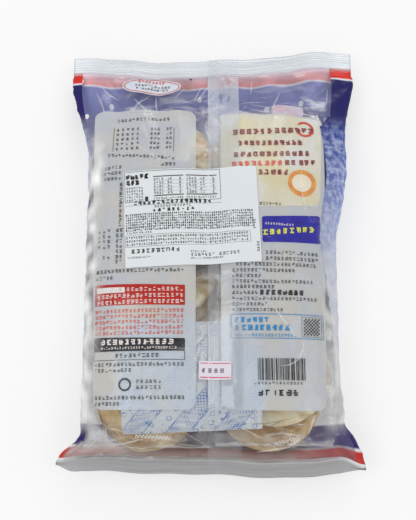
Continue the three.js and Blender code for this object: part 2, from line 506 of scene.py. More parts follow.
# Corners, counterclockwise, with round ends of that radius
def rounded(corners, radius, steps=5):
    outline = []
    count = len(corners)
    for i, (x, y) in enumerate(corners):
        here = Vector((x, y))
        before = (Vector(corners[i - 1]) - here).normalized() * radius
        after = (Vector(corners[(i + 1) % count]) - here).normalized() * radius
        for k in range(steps + 1):
            t = k / steps * math.pi / 2
            spot = here + before * (1 - math.sin(t)) + after * (1 - math.cos(t))
            outline.append((spot.x, spot.y))
    return outline


# The corners of an oval, counterclockwise
def oval(x, y, wide, high, turn=0.0, steps=32):
    c = math.cos(math.radians(turn))
    s = math.sin(math.radians(turn))
    ring = [(wide / 2 * math.cos(2 * math.pi * k / steps), high / 2 * math.sin(2 * math.pi * k / steps))
            for k in range(steps)]
    return [(x + a * c - b * s, y + a * s + b * c) for a, b in ring]


# A label's four corners
def turnedBox(label):
    a = label["wide"] / 2
    b = label["high"] / 2
    return [onLabel(label, x, y) for x, y in ((-a, -b), (a, -b), (a, b), (-a, b))]


# A place on a label or another turned field, as a place on the bag
def onLabel(label, x, y):
    c = math.cos(math.radians(label["turn"]))
    s = math.sin(math.radians(label["turn"]))
    return label["x"] + x * c - y * s, label["y"] + x * s + y * c


# Polypropylene film: nearly clear, with a mirror-like skin that shows at a slant and on each crinkle.
# Metallic stands for that skin, because a plain gloss would fade with the cover.
def filmMaterial():
    material, add = newMaterial("clearFilm")
    coords = add("TexCoord").outputs["Object"]
    along = add("Attribute", {"attribute_name": "along"}).outputs["Fac"]
    streak = add("TexNoise", {"Vector": coords, "Scale": 62, "Detail": 1.5, "Distortion": 1.0})
    ridge = add("Math", {"operation": "PINGPONG", 0: streak, 1: 0.11})
    bump = add("Bump", {"Height": ridge, "Strength": 1.0, "Distance": 1.1 * mm})
    # The film's colour along the bag: grey in the bottom seal, which is painted shade, and faintly blue in
    # the top seal
    tintAndShade = addRampAlong(add, along, [
        (-146, "#A2A3A6"), (-138, "#A09F9E"), (-134, "#DAD6D0"), (-126, "#FFFFFF"), (131, "#FFFFFF"),
        (134, "#EAF0F6")])
    slant = add("Fresnel", {"IOR": 1.49, "Normal": bump})
    across = add("Attribute", {"attribute_name": "across"}).outputs["Fac"]
    flat = add("CombineXYZ", {"X": across, "Y": along})
    spread = add("Mapping", {"Vector": flat, "Scale": (0.04, 0.12, 1)})
    # White wisps where the film's second attribute allows: painted highlights for the glints of crumpled
    # film, and the painted glare below the panels
    crumple = add("TexNoise", {"Vector": spread, "Scale": 1.0, "Detail": 4, "Distortion": 1.1})
    wisps = add("MapRange", {
        "Value": crumple, "From Min": 0.5, "From Max": 0.68, "To Min": 0.0, "To Max": 0.42})
    crumpled = add("Attribute", {"attribute_name": "crumpled"}).outputs["Fac"]
    patches = add("Math", {"operation": "MULTIPLY", 0: wisps, 1: crumpled})
    milky = add("Attribute", {"attribute_name": "haze"}).outputs["Fac"]
    haze = add("Math", {"operation": "MAXIMUM", 0: milky, 1: patches})
    off = add("Math", {"operation": "ABSOLUTE", 0: across})
    shine = add("MapRange", {"Value": off, "From Min": 84, "From Max": 93, "To Min": 0.46, "To Max": 0.1})
    cover = add("Math", {"operation": "MULTIPLY_ADD", 0: slant, 1: shine, 2: haze, "use_clamp": True})
    drawn = add("Mapping", {"Vector": flat, "Scale": (0.012, 1.3, 1)})
    lines = add("TexNoise", {"Vector": drawn, "Scale": 1.0, "Detail": 2})
    dark = add("MapRange", {
        "Value": lines, "From Min": 0.47, "From Max": 0.6, "To Min": 0.0, "To Max": 0.5})
    ends = addRampAlong(add, along, [
        (-138, "#FFFFFF"), (-134, "#000000"), (131.5, "#000000"), (133.5, "#D0D0D0")])
    pressed = add("Math", {"operation": "MULTIPLY", 0: dark, 1: ends})
    shade = add("Mix", {"data_type": "RGBA", 0: pressed, 6: tintAndShade, 7: linear("#6F7377")})
    mirror = add("MapRange", {
        "Value": haze, "From Min": 0.02, "From Max": 0.3, "To Min": 0.7, "To Max": 0.12})
    skin = add("BsdfPrincipled", {
        "Base Color": shade.outputs[2], "Metallic": mirror, "Roughness": 0.16, "Normal": bump})
    return finishMaterial(material, skin, cover, "#FBFCFD")


film = settle(makeFilm(), filmMaterial())
print("film made")


# What rays are cast at to find places on a sheet
def treeOf(piece):
    return BVHTree.FromPolygons([v.co / mm for v in piece.data.vertices],
                                [p.vertices[:] for p in piece.data.polygons])


# The spot of a sheet straight below the height start, or above it for side -1, and the normal there. Past
# the sheet's edge it is the spot nearest to the height near.
def landOn(tree, x, y, side, start, near):
    spot, normal, _, _ = tree.ray_cast(Vector((x, y, start)), Vector((0, 0, -side)))
    if spot is None:
        spot, normal, _, _ = tree.find_nearest(Vector((x, y, near)))
    return spot, normal if normal.z * side > 0 else -normal


clearOf = {"above": 90, "below": -20}  # heights above and below the whole bag, where rays start
filmBack = valuesOf(film, "front") < 0.5
backSheet = peel("backSheet", film, filmBack, 0)
backTree = treeOf(backSheet)
frontSheet = peel("frontSheet", film, ~filmBack, 0)
frontTree = treeOf(frontSheet)
bpy.data.objects.remove(frontSheet)


def onBack(x, y):
    return landOn(backTree, x, y, 1, clearOf["above"], 20)


def onFront(x, y):
    return landOn(frontTree, x, y, -1, clearOf["below"], 0)


# The height of the film that the bag lies on
def frontHeight(x, y):
    spot, _, _, _ = frontTree.ray_cast(Vector((x, y, clearOf["below"])), Vector((0, 0, 1)))
    return spot.z if spot else bag["floor"]


# The front's print, on the film's inside: a bright face outwards, and the pale back of its white ink
# layer inwards, which is what shows through the clear back. blotch is how strongly the white mottles the
# blue, and fade how far the brown of the crackers comes through it above the bottom seal.
def printMaterial(name, stops, blotch, fade, cover):
    material, add = newMaterial(name)
    coords = add("TexCoord").outputs["Object"]
    along = add("Attribute", {"attribute_name": "along"}).outputs["Fac"]
    across = add("Attribute", {"attribute_name": "across"}).outputs["Fac"]
    field = addRampAlong(add, along, stops)
    cloud = add("TexNoise", {"Vector": coords, "Scale": 260, "Detail": 3})
    flecks = add("MapRange", {"Value": cloud, "From Min": 0.42, "From Max": 0.66})
    pale = addRampAlong(add, along, [
        (-116, "#000000"), (-100, "#FFFFFF"), (72, "#FFFFFF"), (98, "#000000")])
    amount = add("Math", {"operation": "MULTIPLY", 0: pale, 1: blotch})
    fleck = add("Math", {"operation": "MULTIPLY", 0: flecks, 1: amount})
    mottled = add("Mix", {"data_type": "RGBA", 0: fleck, 6: field, 7: linear("#DDE3F5")})
    off = add("Math", {"operation": "ABSOLUTE", 0: across})
    middle = add("MapRange", {"Value": off, "From Min": 48, "From Max": 70, "To Min": fade, "To Max": 0})
    foot = add("MapRange", {"Value": along, "From Min": -100, "From Max": -112})
    worn = add("Math", {"operation": "MULTIPLY", 0: middle, 1: foot})
    colour = add("Mix", {"data_type": "RGBA", 0: worn, 6: mottled.outputs[2], 7: linear("#94846C")})
    ink = add("BsdfPrincipled", {
        "Base Color": colour.outputs[2], "Roughness": 0.6, "Specular IOR Level": 0.1})
    opacity = addRampAlong(add, along, cover)
    return finishMaterial(material, ink, opacity)


frontPrint = {
    "outside": [(-136.6, "#C4281F"), (-130.1, "#C4281F"), (-130.0, "#F0F0F2"), (-128.6, "#F0F0F2"),
                (-128.5, "#1F1660"), (-116.1, "#1F1660"), (-116.0, "#DCDFE6"), (-40, "#DDE0EC"),
                (10, "#98A5D2"), (55, "#4C64B4"), (84, "#2C4496"), (96, "#1D1562"), (124.5, "#1C145E"),
                (124.6, "#F2F2F4"), (126.0, "#F2F2F4"), (126.1, "#D92A20")],
    "inside": [(-136.6, "#DC7072"), (-130.1, "#DC7072"), (-130.0, "#DADCE2"), (-128.6, "#DADCE2"),
               (-128.5, "#686099"), (-116.1, "#686099"), (-116.0, "#DDDFE2"), (-40, "#DCDFE6"),
               (10, "#C3CBE8"), (55, "#AAB3E0"), (84, "#9CA3D8"), (96, "#9297CD"), (124.5, "#8E92C8"),
               (124.6, "#ECEDF4"), (126.0, "#ECEDF4"), (126.1, "#F09C9E"), (129.5, "#EEB0B5"),
               (133, "#EAD0DA")],
    "cover": [(-136.6, "#FFFFFF"), (-116.1, "#FFFFFF"), (-116.0, "#909090"), (-70, "#C0C0C0"),
              (0, "#F2F2F2"), (40, "#FFFFFF")],
}
filmAlong = valuesOf(film, "along")
printed = (filmAlong < bag["printTop"]) & (filmAlong > bag["printBottom"])
filmAcross = valuesOf(film, "across")
wrapLeft = np.interp(filmAlong, *zip(*bag["wrapLeft"]))
wrapRight = np.interp(filmAlong, *zip(*bag["wrapRight"]))
printed &= (~filmBack) | (filmAcross < -wrapLeft) | (filmAcross > wrapRight)
for name, material, stops, blotch, fade, lift in (
        ("front_print", "printedInk", frontPrint["outside"], 0.6, 0.0, -0.05),
        ("front_print_inside", "inkBacking", frontPrint["inside"], 0.5, 0.5, -0.12)):
    settle(peel(name, film, printed, lift), printMaterial(material, stops, blotch, fade, frontPrint["cover"]))
print("front print made")


# The back seam: two films crimped together and folded flat, with lengthwise ribs in the crimp
def makeFin():
    sides = [(fin["from"], fin["footLeft"]), (fin["to"], fin["footRight"]), (fin["to"], fin["head"]),
             (fin["from"], fin["head"])]
    piece = cutField("back_seam", sides, fin["lift"])
    x = pointsOf(piece)[:, 0]
    inCrimp = ease(fin["crimp"] + 0.3, fin["crimp"] - 0.3, x)
    displace(piece, fin["rib"] * np.sin(2 * math.pi * x / fin["ribPitch"]) * inCrimp + fin["rib"])
    thicken(piece, fin["thick"], 1)
    return piece


# The seam's film is milky, because it is two more layers and the crimp scatters light. It is whitest over the
# sachet, where that is a painted highlight for the glare on the seam.
def seamMaterial():
    material, add = newMaterial("crimpedFilm")
    coords = add("TexCoord").outputs["Object"]
    parts = add("SeparateXYZ", {"Vector": coords})
    grain = add("TexNoise", {"Vector": coords, "Scale": 400, "Detail": 3})
    bump = add("Bump", {"Height": grain, "Strength": 0.5, "Distance": 0.2 * mm})
    skin = add("BsdfPrincipled", {
        "Base Color": linear("#E6EBF2"), "Metallic": 0.25, "Roughness": 0.2, "Normal": bump})
    crimp = add("MapRange", {
        "Value": parts.outputs["X"], "From Min": (fin["crimp"] - 0.2) * mm,
        "From Max": (fin["crimp"] + 0.4) * mm, "To Min": 0.11, "To Max": 0.035})
    slant = add("Fresnel", {"IOR": 1.4, "Normal": bump})
    along = add("Attribute", {"attribute_name": "along"}).outputs["Fac"]
    # Whitest over the sachet: painted highlight for glare; clearer below and above
    milky = addRampAlong(add, along, [
        (-140, "#484848"), (-112, "#585858"), (-104, "#FFFFFF"), (-62, "#FFFFFF"), (-50, "#808080"),
        (60, "#B0B0B0")])
    full = add("Math", {"operation": "MULTIPLY_ADD", 0: slant, 1: 0.3, 2: crimp})
    double = add("Math", {"operation": "MULTIPLY", 0: full, 1: 3.4})
    cover = add("Math", {"operation": "MULTIPLY", 0: double, 1: milky})
    return finishMaterial(material, skin, cover)


settle(makeFin(), seamMaterial(), 50)
print("back seam made")


# The blue print of the sachet, from 0 to 1: lanes of lattice and of diamonds between slanted lines
def sachetPrint(add, coords):
    turned = add("Mapping", {"Vector": coords, "Rotation": (0, 0, math.radians(42))})
    lattice = add("TexChecker", {"Vector": turned, "Scale": 1 / (1.3 * mm)})
    cells = add("TexVoronoi", {"Vector": turned, "Scale": 1 / (5 * mm), "distance": "MANHATTAN"})
    rings = add("Math", {"operation": "COMPARE", 0: cells.outputs["Distance"], 1: 0.45, 2: 0.09})
    lanes = add("TexWave", {"Vector": turned, "Scale": math.pi / 10 / (22 * mm)})
    chosen = add("Math", {"operation": "GREATER_THAN", 0: lanes.outputs["Fac"], 1: 0.55})
    lines = add("Math", {"operation": "COMPARE", 0: lanes.outputs["Fac"], 1: 0.5, 2: 0.06})
    both = add("Mix", {"data_type": "FLOAT", 0: chosen, 2: lattice.outputs["Fac"], 3: rings})
    drawn = add("Math", {"operation": "MAXIMUM", 0: both, 1: lines})
    worn = add("TexNoise", {"Vector": coords, "Scale": 1 / (7 * mm), "Detail": 3})
    fade = add("MapRange", {
        "Value": worn, "From Min": 0.35, "From Max": 0.65, "To Min": 0.15, "To Max": 0.9})
    return add("Math", {"operation": "MULTIPLY", 0: drawn, 1: fade})


# White ink of the two panels. It is translucent, so it turns paler and faintly blue where the sachet
# lies against it. Elsewhere it clouds from cool to warm.
def panelMaterial():
    material, add = newMaterial("whiteInk")
    coords = add("TexCoord").outputs["Object"]
    cloud = add("TexNoise", {"Vector": coords, "Scale": 38, "Detail": 3})
    ground = addRamp(add, cloud, 0, 1, [(0.38, "#CBCED3"), (0.62, "#D3D0CA")])
    touch = add("Attribute", {"attribute_name": "touch"}).outputs["Fac"]
    printed = sachetPrint(add, coords)
    faint = add("Math", {"operation": "MULTIPLY", 0: printed, 1: 0.3})
    behind = add("Mix", {"data_type": "RGBA", 0: faint, 6: linear("#D0D8E0"), 7: linear("#7FA0D0")})
    colour = add("Mix", {"data_type": "RGBA", 0: touch, 6: ground, 7: behind.outputs[2]})
    ink = add("BsdfPrincipled", {
        "Base Color": colour.outputs[2], "Roughness": 0.6, "Specular IOR Level": 0.1})
    return finishMaterial(material, ink, 0.95)


# Opaque ink, or thin ink where cover is under 1, with clouds of a second colour
def inkMaterial(name, colour, cover=1.0, second=None, variation=0.12, clouds=130):
    material, add = newMaterial(name)
    coords = add("TexCoord").outputs["Object"]
    cloud = add("TexNoise", {"Vector": coords, "Scale": clouds, "Detail": 5})
    depth = add("MapRange", {"Value": cloud, "From Min": 0.35, "From Max": 0.65, "To Max": variation})
    shade = add("Mix", {"data_type": "RGBA", 0: depth, 6: linear(colour), 7: linear(second or "#F4F4F2")})
    ink = add("BsdfPrincipled", {
        "Base Color": shade.outputs[2], "Roughness": 0.6, "Specular IOR Level": 0.1})
    return finishMaterial(material, ink, cover if cover < 1 else None)


# How far each layer of print lies over the sheet that carries it. What is inside the bag is below 0.
layer = {
    "marks": -0.14, "box": -0.26, "picture": -0.34, "panel": -0.42,
    "streak": 0.05, "teeth": -0.3, "shadow": -0.5, "snow": -0.2,
    "snowUnder": 0.02, "title": 0.03, "biscuitRim": 0.03, "biscuit": 0.06,
    "label": 0.06, "price": 0.06, "priceRed": 0.06,
}
panels = {
    "left": [(-76.1, -108.6), (-9.7, -108.9), (-10.5, 100.8), (-82.6, 102.4)],
    "right": [(6.9, -108.9), (74.3, -109.6), (78.7, 96.7), (5.8, 99.4)],
    "radius": 6,
}
whiteInk = panelMaterial()
for side in ("left", "right"):
    panel = cutField(side + "_panel", rounded(panels[side], panels["radius"]), layer["panel"])
    x, y, _ = pointsOf(panel).T
    addValues(panel, {"touch": under(sachet, x, y) * (0.75 + 0.25 * np.sin(x / 7 + y / 11))})
    settle(panel, whiteInk)

# Fields of colour: corners, radius of the corners, layer, and then the look: colour, cover, second colour,
# the most of that second colour, and how fine its clouds are
fields = {
    "picture_area": ([(7.4, 25), (73.6, 27.5), (77.8, 95), (6.8, 98)], 5, "picture",
                     "#DFD6B4", 1.0, "#E4E4E2", 1.0, 34),
    "picture_tab": ([(43, 97.5), (66, 97.5), (65.5, 105.5), (43.5, 105.5)], 2, "panel",
                    "#D9CEDC", 0.95, "#D98F97", 0.4),
    "red_box": ([(-76.8, -41), (-17, -41.6), (-17, -28.4), (-77, -26.8)], 0.3, "box",
                "#C41E08", 1.0, "#B01605", 0.5),
    "red_box_title": ([(-75.6, -32.6), (-56.5, -33), (-56.5, -29.4), (-75.8, -28.8)], 0.2, "marks",
                      "#E8E4E2", 1.0, "#F4F4F2", 0.3),
    "black_box": ([(-76.8, -71), (-16.8, -71.3), (-16.8, -63.2), (-77, -62)], 0.8, "box",
                  "#161619", 1.0, "#3A3A40", 0.9),
    "blue_box": ([(34, 0.4), (73.7, 1.4), (73.7, 20.6), (34, 19.2)], 1.6, "box",
                 "#261E9C", 1.0, "#322EB0", 0.8),
    "oval_field": (oval(-43, 125.2, 43, 16.6, -3), 0, "box", "#DDE2EC", 1.0, "#EEF0F4", 0.5),
    "cup_rim": (oval(61.6, 43, 19.5, 19.5), 0, "box", "#E9B25E", 1.0, "#E08A4A", 0.9),
    "cup_inside": (oval(61.4, 43, 13.6, 12.6), 0, "marks", "#F3EBDC", 1.0, "#E9D9B8", 0.6),
}
for name, (corners, radius, depth, *look) in fields.items():
    outline = rounded(corners, radius) if radius else corners
    ink = inkMaterial(name + "Ink", *look)
    settle(cutField(name, outline, layer[depth]), ink)
print("printed fields made")

# Printed marks: bars and rows of short strokes that stand for lines of print, collected by ink
# Among these inks are the white of the painted highlight streaks and the brown of the painted shadow streaks
inks = {
    "black": "#141416", "grey": "#3C3C3E", "red": "#DC4A26", "brown": "#8E2A1C", "paleBlue": "#2391C9",
    "yellow": "#E2E02C", "white": "#F1E6E2", "label": "#1E2024", "price": "#5B5560", "priceRed": "#C8324A",
    "streak": "#FFFFFF", "shadow": "#6E5236", "teeth": "#FFFFFF", "snow": "#E9EBF7", "snowUnder": "#F2F3FA",
    "title": "#F0EEE6", "biscuit": "#DDBB80", "biscuitRim": "#B98A4E",
}
thinInks = {"streak": 0.26, "shadow": 0.4, "teeth": 0.8}  # how much of what is behind these cover
marks = {ink: [] for ink in inks}
draw = random.Random(12)
sign = {
    "width": (0.72, 0.95),  # least and most, as a share of its size
    "levels": (0.36, 0.0, -0.36),  # where its flat strokes lie, as a share of its size
    "leftOut": 0.12,  # share of strokes that are left out
    "tall": 2.8,  # signs above this size have upright strokes too
}
strip = {"step": 1.3, "sway": 4}  # a painted streak's steps, and how far it may turn at each, in degrees


# A bar between two corners, cut into cells small enough to follow the film
def addBar(ink, x0, y0, x1, y1, spot=None, cell=1.6):
    columns = max(1, math.ceil(abs(x1 - x0) / cell))
    rows = max(1, math.ceil(abs(y1 - y0) / cell))
    for i in range(columns):
        for j in range(rows):
            a0, a1 = x0 + (x1 - x0) * i / columns, x0 + (x1 - x0) * (i + 1) / columns
            b0, b1 = y0 + (y1 - y0) * j / rows, y0 + (y1 - y0) * (j + 1) / rows
            corners = [(a0, b0), (a1, b0), (a1, b1), (a0, b1)]
            marks[ink].append([onLabel(spot, *c) for c in corners] if spot else corners)


# A row of signs, each two or three flat strokes in its own cell, from x0 to x1. bold is the share of ink.
def addSigns(ink, x0, x1, y, size, bold=0.22, drop=0.0, spot=None, upright=False, pitch=1.12):
    place = x0
    while place + size * 0.7 < x1:
        wide = size * draw.uniform(*sign["width"])
        for level in sign["levels"]:
            if draw.random() < sign["leftOut"]:
                continue
            part = wide * draw.uniform(0.5, 1)
            start = place + (wide - part) * draw.random()
            height = y + level * size + drop * (place - x0)
            thick = size * bold / 2
            if upright:
                addBar(ink, height - thick, -start - part, height + thick, -start, spot)
            else:
                addBar(ink, start, height - thick, start + part, height + thick, spot)
        if size > sign["tall"] and not upright:
            middle = y + drop * (place - x0)
            for _ in range(draw.choice((1, 2))):
                post = place + wide * draw.uniform(0.1, 0.9)
                addBar(ink, post - size * bold / 2.4, middle - 0.4 * size, post + size * bold / 2.4,
                       middle + 0.4 * size, spot)
        place += size * pitch


def addRows(ink, x0, x1, ys, size, **more):
    for y in ys:
        addSigns(ink, x0, x1, y, size, **more)


# A flat disc or oval of rings and sectors
def addDisc(ink, x, y, wide, high, rings=1, sectors=14):
    for ring in range(rings):
        for k in range(sectors):
            corners = []
            for share, turn in ((ring, k), (ring + 1, k), (ring + 1, k + 1), (ring, k + 1)):
                a = 2 * math.pi * turn / sectors
                reach = share / rings / 2
                corners.append((x + wide * reach * math.cos(a), y + high * reach * math.sin(a)))
            marks[ink].append(corners[(0 if ring else 1):])


# A bent band round a place, as a ring or as a part of one. Its outer edge is wide and high from the middle.
def addArc(ink, spot, wide, high, band, start, step, count):
    for k in range(count):
        corners = []
        for inward, turn in ((band, k), (0, k), (0, k + 1), (band, k + 1)):
            a = math.radians(start + step * turn)
            corners.append(onLabel(spot, (wide - inward) * math.cos(a), (high - inward) * math.sin(a)))
        marks[ink].append(corners)


def addFrame(ink, x0, y0, x1, y1, line, spot=None):
    addBar(ink, x0, y0, x1, y0 + line, spot)
    addBar(ink, x0, y1 - line, x1, y1, spot)
    addBar(ink, x0, y0 + line, x0 + line, y1 - line, spot)
    addBar(ink, x1 - line, y0 + line, x1, y1 - line, spot)


# A painted streak: a white painted highlight that stands for a glint on a crinkle of the film, or a brown
# painted shadow. It is a thin strip along a bending line, tapered at both ends
def addPaintedStreak(x, y, heading, length, bend, wide, ink="streak"):
    steps = max(4, round(length / strip["step"]))
    edges = []
    for k in range(steps + 1):
        half = wide / 2 * math.sin(math.pi * (k + 0.3) / (steps + 0.6))
        a = math.radians(heading)
        c = math.cos(a)
        s = math.sin(a)
        edges.append(((x - half * s, y + half * c), (x + half * s, y - half * c)))
        x += length / steps * c
        y += length / steps * s
        heading += bend * length / steps + draw.uniform(-strip["sway"], strip["sway"])
    for (left, right), (nextLeft, nextRight) in zip(edges, edges[1:]):
        marks[ink].append([left, right, nextRight, nextLeft])


# Left panel
addSigns("grey", -66, -28, 93.6, 2.4)
for y in (85.6, 81.6, 77.6, 73.6, 69.6):
    addSigns("grey", -66, -49, y, 2.1, pitch=1.7)
    addSigns("grey", -42, -34, y, 2.1)
    addSigns("grey", -31, -27, y, 2.0)
addBar("grey", -68, 68, -67.7, 88)
addBar("grey", -25.8, 66, -25.5, 86)
addSigns("grey", -71, -23, 65.2, 2.2, drop=-0.1)
addSigns("grey", -34, -22, 56.2, 2.4)
addRows("grey", -76, -60, (55.3, 51.2, 47.2), 2.3)
addRows("black", -62, -58.5, np.linspace(42.6, 14, 10), 2.4)
for y in (9.9, 6.3, 2.6, -1.0, -8.2):
    addSigns("black", -76.3, -66, y, 2.3, pitch=1.5)
    addSigns("black", -63.6, -58.4, y, 2.4)
addRows("black", -63.6, -58.4, (-4.6, -11.6), 2.4)
addBar("black", -76.6, -19.2, -74.6, -17.0)
addSigns("black", -73.8, -17, -18.0, 2.3)
addSigns("black", -76.6, -63, -22.6, 2.2)
addSigns("white", -55.4, -18, -31, 2.6)
addRows("white", -75.5, -18, (-35.2, -39.2), 2.6)
addSigns("red", -75, -57.5, -30.8, 2.2)
addRows("red", -76.4, -17.4, (-45, -48.6, -52.2, -55.8, -59.3), 2.3)
for y in (-45, -52.2):
    addBar("red", -76.6, y - 1, -74.8, y + 1)
addSigns("white", -72, -22, -65.3, 3.6, bold=0.24)
addSigns("white", -72, -22, -69.2, 1.6)
addFrame("grey", -76.8, -77.2, -16.8, -71, 0.35)
addSigns("black", -62, -32, -74.2, 2.6)
addSigns("black", -76.2, -17, -79.9, 2.3)
addSigns("black", -76.2, -50, -83.6, 2.3)
addRows("grey", -48, -32, (-90.9, -94.6), 2.2, pitch=1.3)
addSigns("black", -75.4, -16.5, -101, 2.3)
addSigns("black", -75.4, -57, -104.9, 2.2)
addArc("black", {"x": -55.4, "y": -92.8, "turn": 0}, 4.2, 4.2, 1.2, 0, 18, 20)

# Right panel
addSigns("brown", 15, 71.5, 81.8, 4.3, bold=0.3, drop=0.05)
addSigns("brown", 18.5, 66, 73.0, 3.7, bold=0.3, drop=0.03)
addSigns("brown", 15.5, 70, 64.0, 4.0, bold=0.3, drop=0.04)
addSigns("red", 14, 50, 56.4, 4.0, bold=0.3, drop=0.04)
addSigns("brown", 50.5, 71.5, 58.0, 4.0, bold=0.3, drop=0.05)
addSigns("brown", 31.5, 54.5, 50.2, 4.0, bold=0.3)
addArc("red", {"x": 65.5, "y": 85.6, "turn": 0}, 6.6, 6.6, 1.8, -150, 11, 26)
addSigns("grey", 32.6, 47, 28, 1.9)
addSigns("white", 36, 56, 14.2, 1.6, drop=-0.05)
addSigns("yellow", 34.6, 72, 7.6, 4.0, bold=0.28, drop=0.1)
addRows("grey", 36, 71.5, (-6.4, -10.4), 2.3)
addSigns("black", 16.4, 70.5, -14.2, 2.2)
addSigns("grey", 14, 55.3, -18.2, 2.2)
addSigns("grey", 13.7, 33, -21.9, 2.2)
addSigns("grey", 13.7, 69, -25.6, 2.2)
addSigns("black", 13.7, 42, -29.2, 2.3)
addSigns("black", 13.7, 31, -33.2, 2.2)
addSigns("black", 32, 63.5, -33.0, 3.3, bold=0.34)
addSigns("grey", 13.7, 71.5, -37.2, 2.2)
addSigns("grey", 13.7, 38.3, -41, 2.1)
addSigns("grey", 13.7, 48, -44.8, 2.0)
addFrame("paleBlue", 12.6, -63.4, 74, -47.4, 0.5)
addSigns("paleBlue", 15.5, 37.5, -51.4, 3.4, bold=0.28)
addSigns("paleBlue", 15.5, 52, -56.4, 3.6, bold=0.3)
addSigns("paleBlue", 15.5, 57, -61.2, 1.9)
addFrame("grey", 59, -62, 72.6, -49, 0.25)
checks = {"x": 60.3, "y": -61, "cell": 1.1, "count": 10}  # a plain field of checks in that frame
for i in range(checks["count"]):
    for j in range(i % 2, checks["count"], 2):
        x = checks["x"] + checks["cell"] * i
        y = checks["y"] + checks["cell"] * j
        addBar("black", x, y, x + checks["cell"], y + checks["cell"])
stripes = {"from": 30.0, "to": 60.6, "foot": -90.2, "head": -75.9}  # a plain field of stripes
stripe = stripes["from"]
while stripe < stripes["to"]:
    wide = draw.choice((0.33, 0.33, 0.66, 0.99))
    addBar("black", stripe, stripes["foot"], stripe + wide, stripes["head"])
    stripe += wide + draw.choice((0.33, 0.33, 0.66, 0.66, 0.99))
addSigns("black", 27.5, 60, -92, 1.7, pitch=1.35)
addSigns("black", 29.8, 56, -98.2, 4.0, bold=0.26)

# The oval at the top, with a thin red ring and rows inside
ovalRing = {"x": -43, "y": 125.2, "turn": -3}
addArc("red", ovalRing, 20.4, 7.2, 0.7, 0, 7.5, 48)
addSigns("red", -10, 10.5, 4.3, 2.2, bold=0.3, spot=ovalRing)
addSigns("black", -12, 14, 0.2, 2.1, spot=ovalRing)
addSigns("black", -11, 12, -2.8, 1.9, spot=ovalRing)
addBar("black", -15.8, 131.6, -13.8, 133)


def labelSigns(x0, x1, y, size, **more):
    addSigns("label", x0, x1, y, size, spot=infoLabel, **more)


# The info label's print: a ruled table, heading rows, small rows, a framed block and upright strokes
addFrame("label", -44.4, 11.4, 20.4, 33.1, 0.3, infoLabel)
labelSigns(-43.4, -27.4, 29.4, 3.3, bold=0.36, pitch=0.95)
labelSigns(-43.4, -32, 25.4, 3.3, bold=0.36, pitch=0.95)
for y in (21.6, 19.4, 17.3, 15.2, 13.0):
    labelSigns(-43.4, -31, y, 1.5)
labelSigns(-30.6, -25.8, 13.4, 3.0, bold=0.4)
for x0, x1 in ((-24.8, -4.4), (-2.8, 18.0)):
    addBar("label", x0, 28.4, x1, 29.1, infoLabel)
    addBar("label", x0, 14.9, x1, 15.5, infoLabel)
    labelSigns(x0, x1, 13.3, 1.4)
    for y in (26.8, 24.3, 21.8, 19.4, 17.0):
        labelSigns(x0 + 0.2, x0 + 7.5, y, 1.6)
        labelSigns(x0 + 9.5, x0 + 13, y, 1.6)
        labelSigns(x1 - 3, x1, y, 1.7)
        addBar("label", x0, y - 1.25, x1, y - 1.13, infoLabel)
addBar("label", -44, 8.9, 20.6, 9.1, infoLabel)
labelSigns(-38.5, 14.5, 10.7, 2.6, bold=0.36, pitch=1.2)
labelSigns(-24.5, 1, 7.6, 1.7)
labelSigns(-25.6, 2.5, 4.9, 2.3, bold=0.34, pitch=1.4)
addRows("label", -44, 41, np.linspace(2.2, -8.6, 7), 1.25, bold=0.34, spot=infoLabel)
labelSigns(-43.4, -27, -10.5, 1.25)
addFrame("label", -44.6, -20, 38.5, -12, 0.18, infoLabel)
addRows("label", -43.9, 37.8, (-13.7, -16.0, -18.3), 1.45, bold=0.26, spot=infoLabel)
labelSigns(-40.5, -7.5, -22.9, 2.9, bold=0.24)
labelSigns(-43.6, -27.6, -27, 1.2)
labelSigns(-1.5, 9, -24.5, 1.2)
labelSigns(-1.5, 31, -26.8, 2.1)
labelSigns(-1.5, 20, -29.2, 1.2)
labelSigns(4, 11, 41.6, 1.7, upright=True)
labelSigns(20, 27.5, 43.2, 1.7, upright=True)

# The price label's print: one row of signs between two red lines
addSigns("price", -8.6, 8, -0.2, 3.0, bold=0.2, spot=priceLabel, pitch=1.3)
addBar("priceRed", -9.6, 4.2, 9.7, 4.7, priceLabel)
addBar("priceRed", -9.6, -4.9, 9.7, -4.3, priceLabel)


# All the marks of one ink as one mesh, laid on a ground. seenFrom is 1 from above and -1 from below.
def makeMarks(ink, ground=onBack, seenFrom=1, replaced="bag"):
    lift = layer.get(ink, layer["marks"])
    places = []
    for mark in marks[ink]:
        for x, y in mark[::seenFrom]:
            spot, normal = ground(x, y)
            places.append((spot + normal * lift) * mm)
    ends = np.cumsum([0] + [len(mark) for mark in marks[ink]])
    mesh = bpy.data.meshes.new(ink + "_print")
    mesh.from_pydata(places, [], [list(range(a, b)) for a, b in zip(ends, ends[1:])])
    piece = bpy.data.objects.new(ink + "_print", mesh)
    bpy.context.collection.objects.link(piece)
    look = inkMaterial(ink + "MarkInk", inks[ink], thinInks.get(ink, 1.0), None, 0.08)
    return settle(piece, look, replaced=replaced)


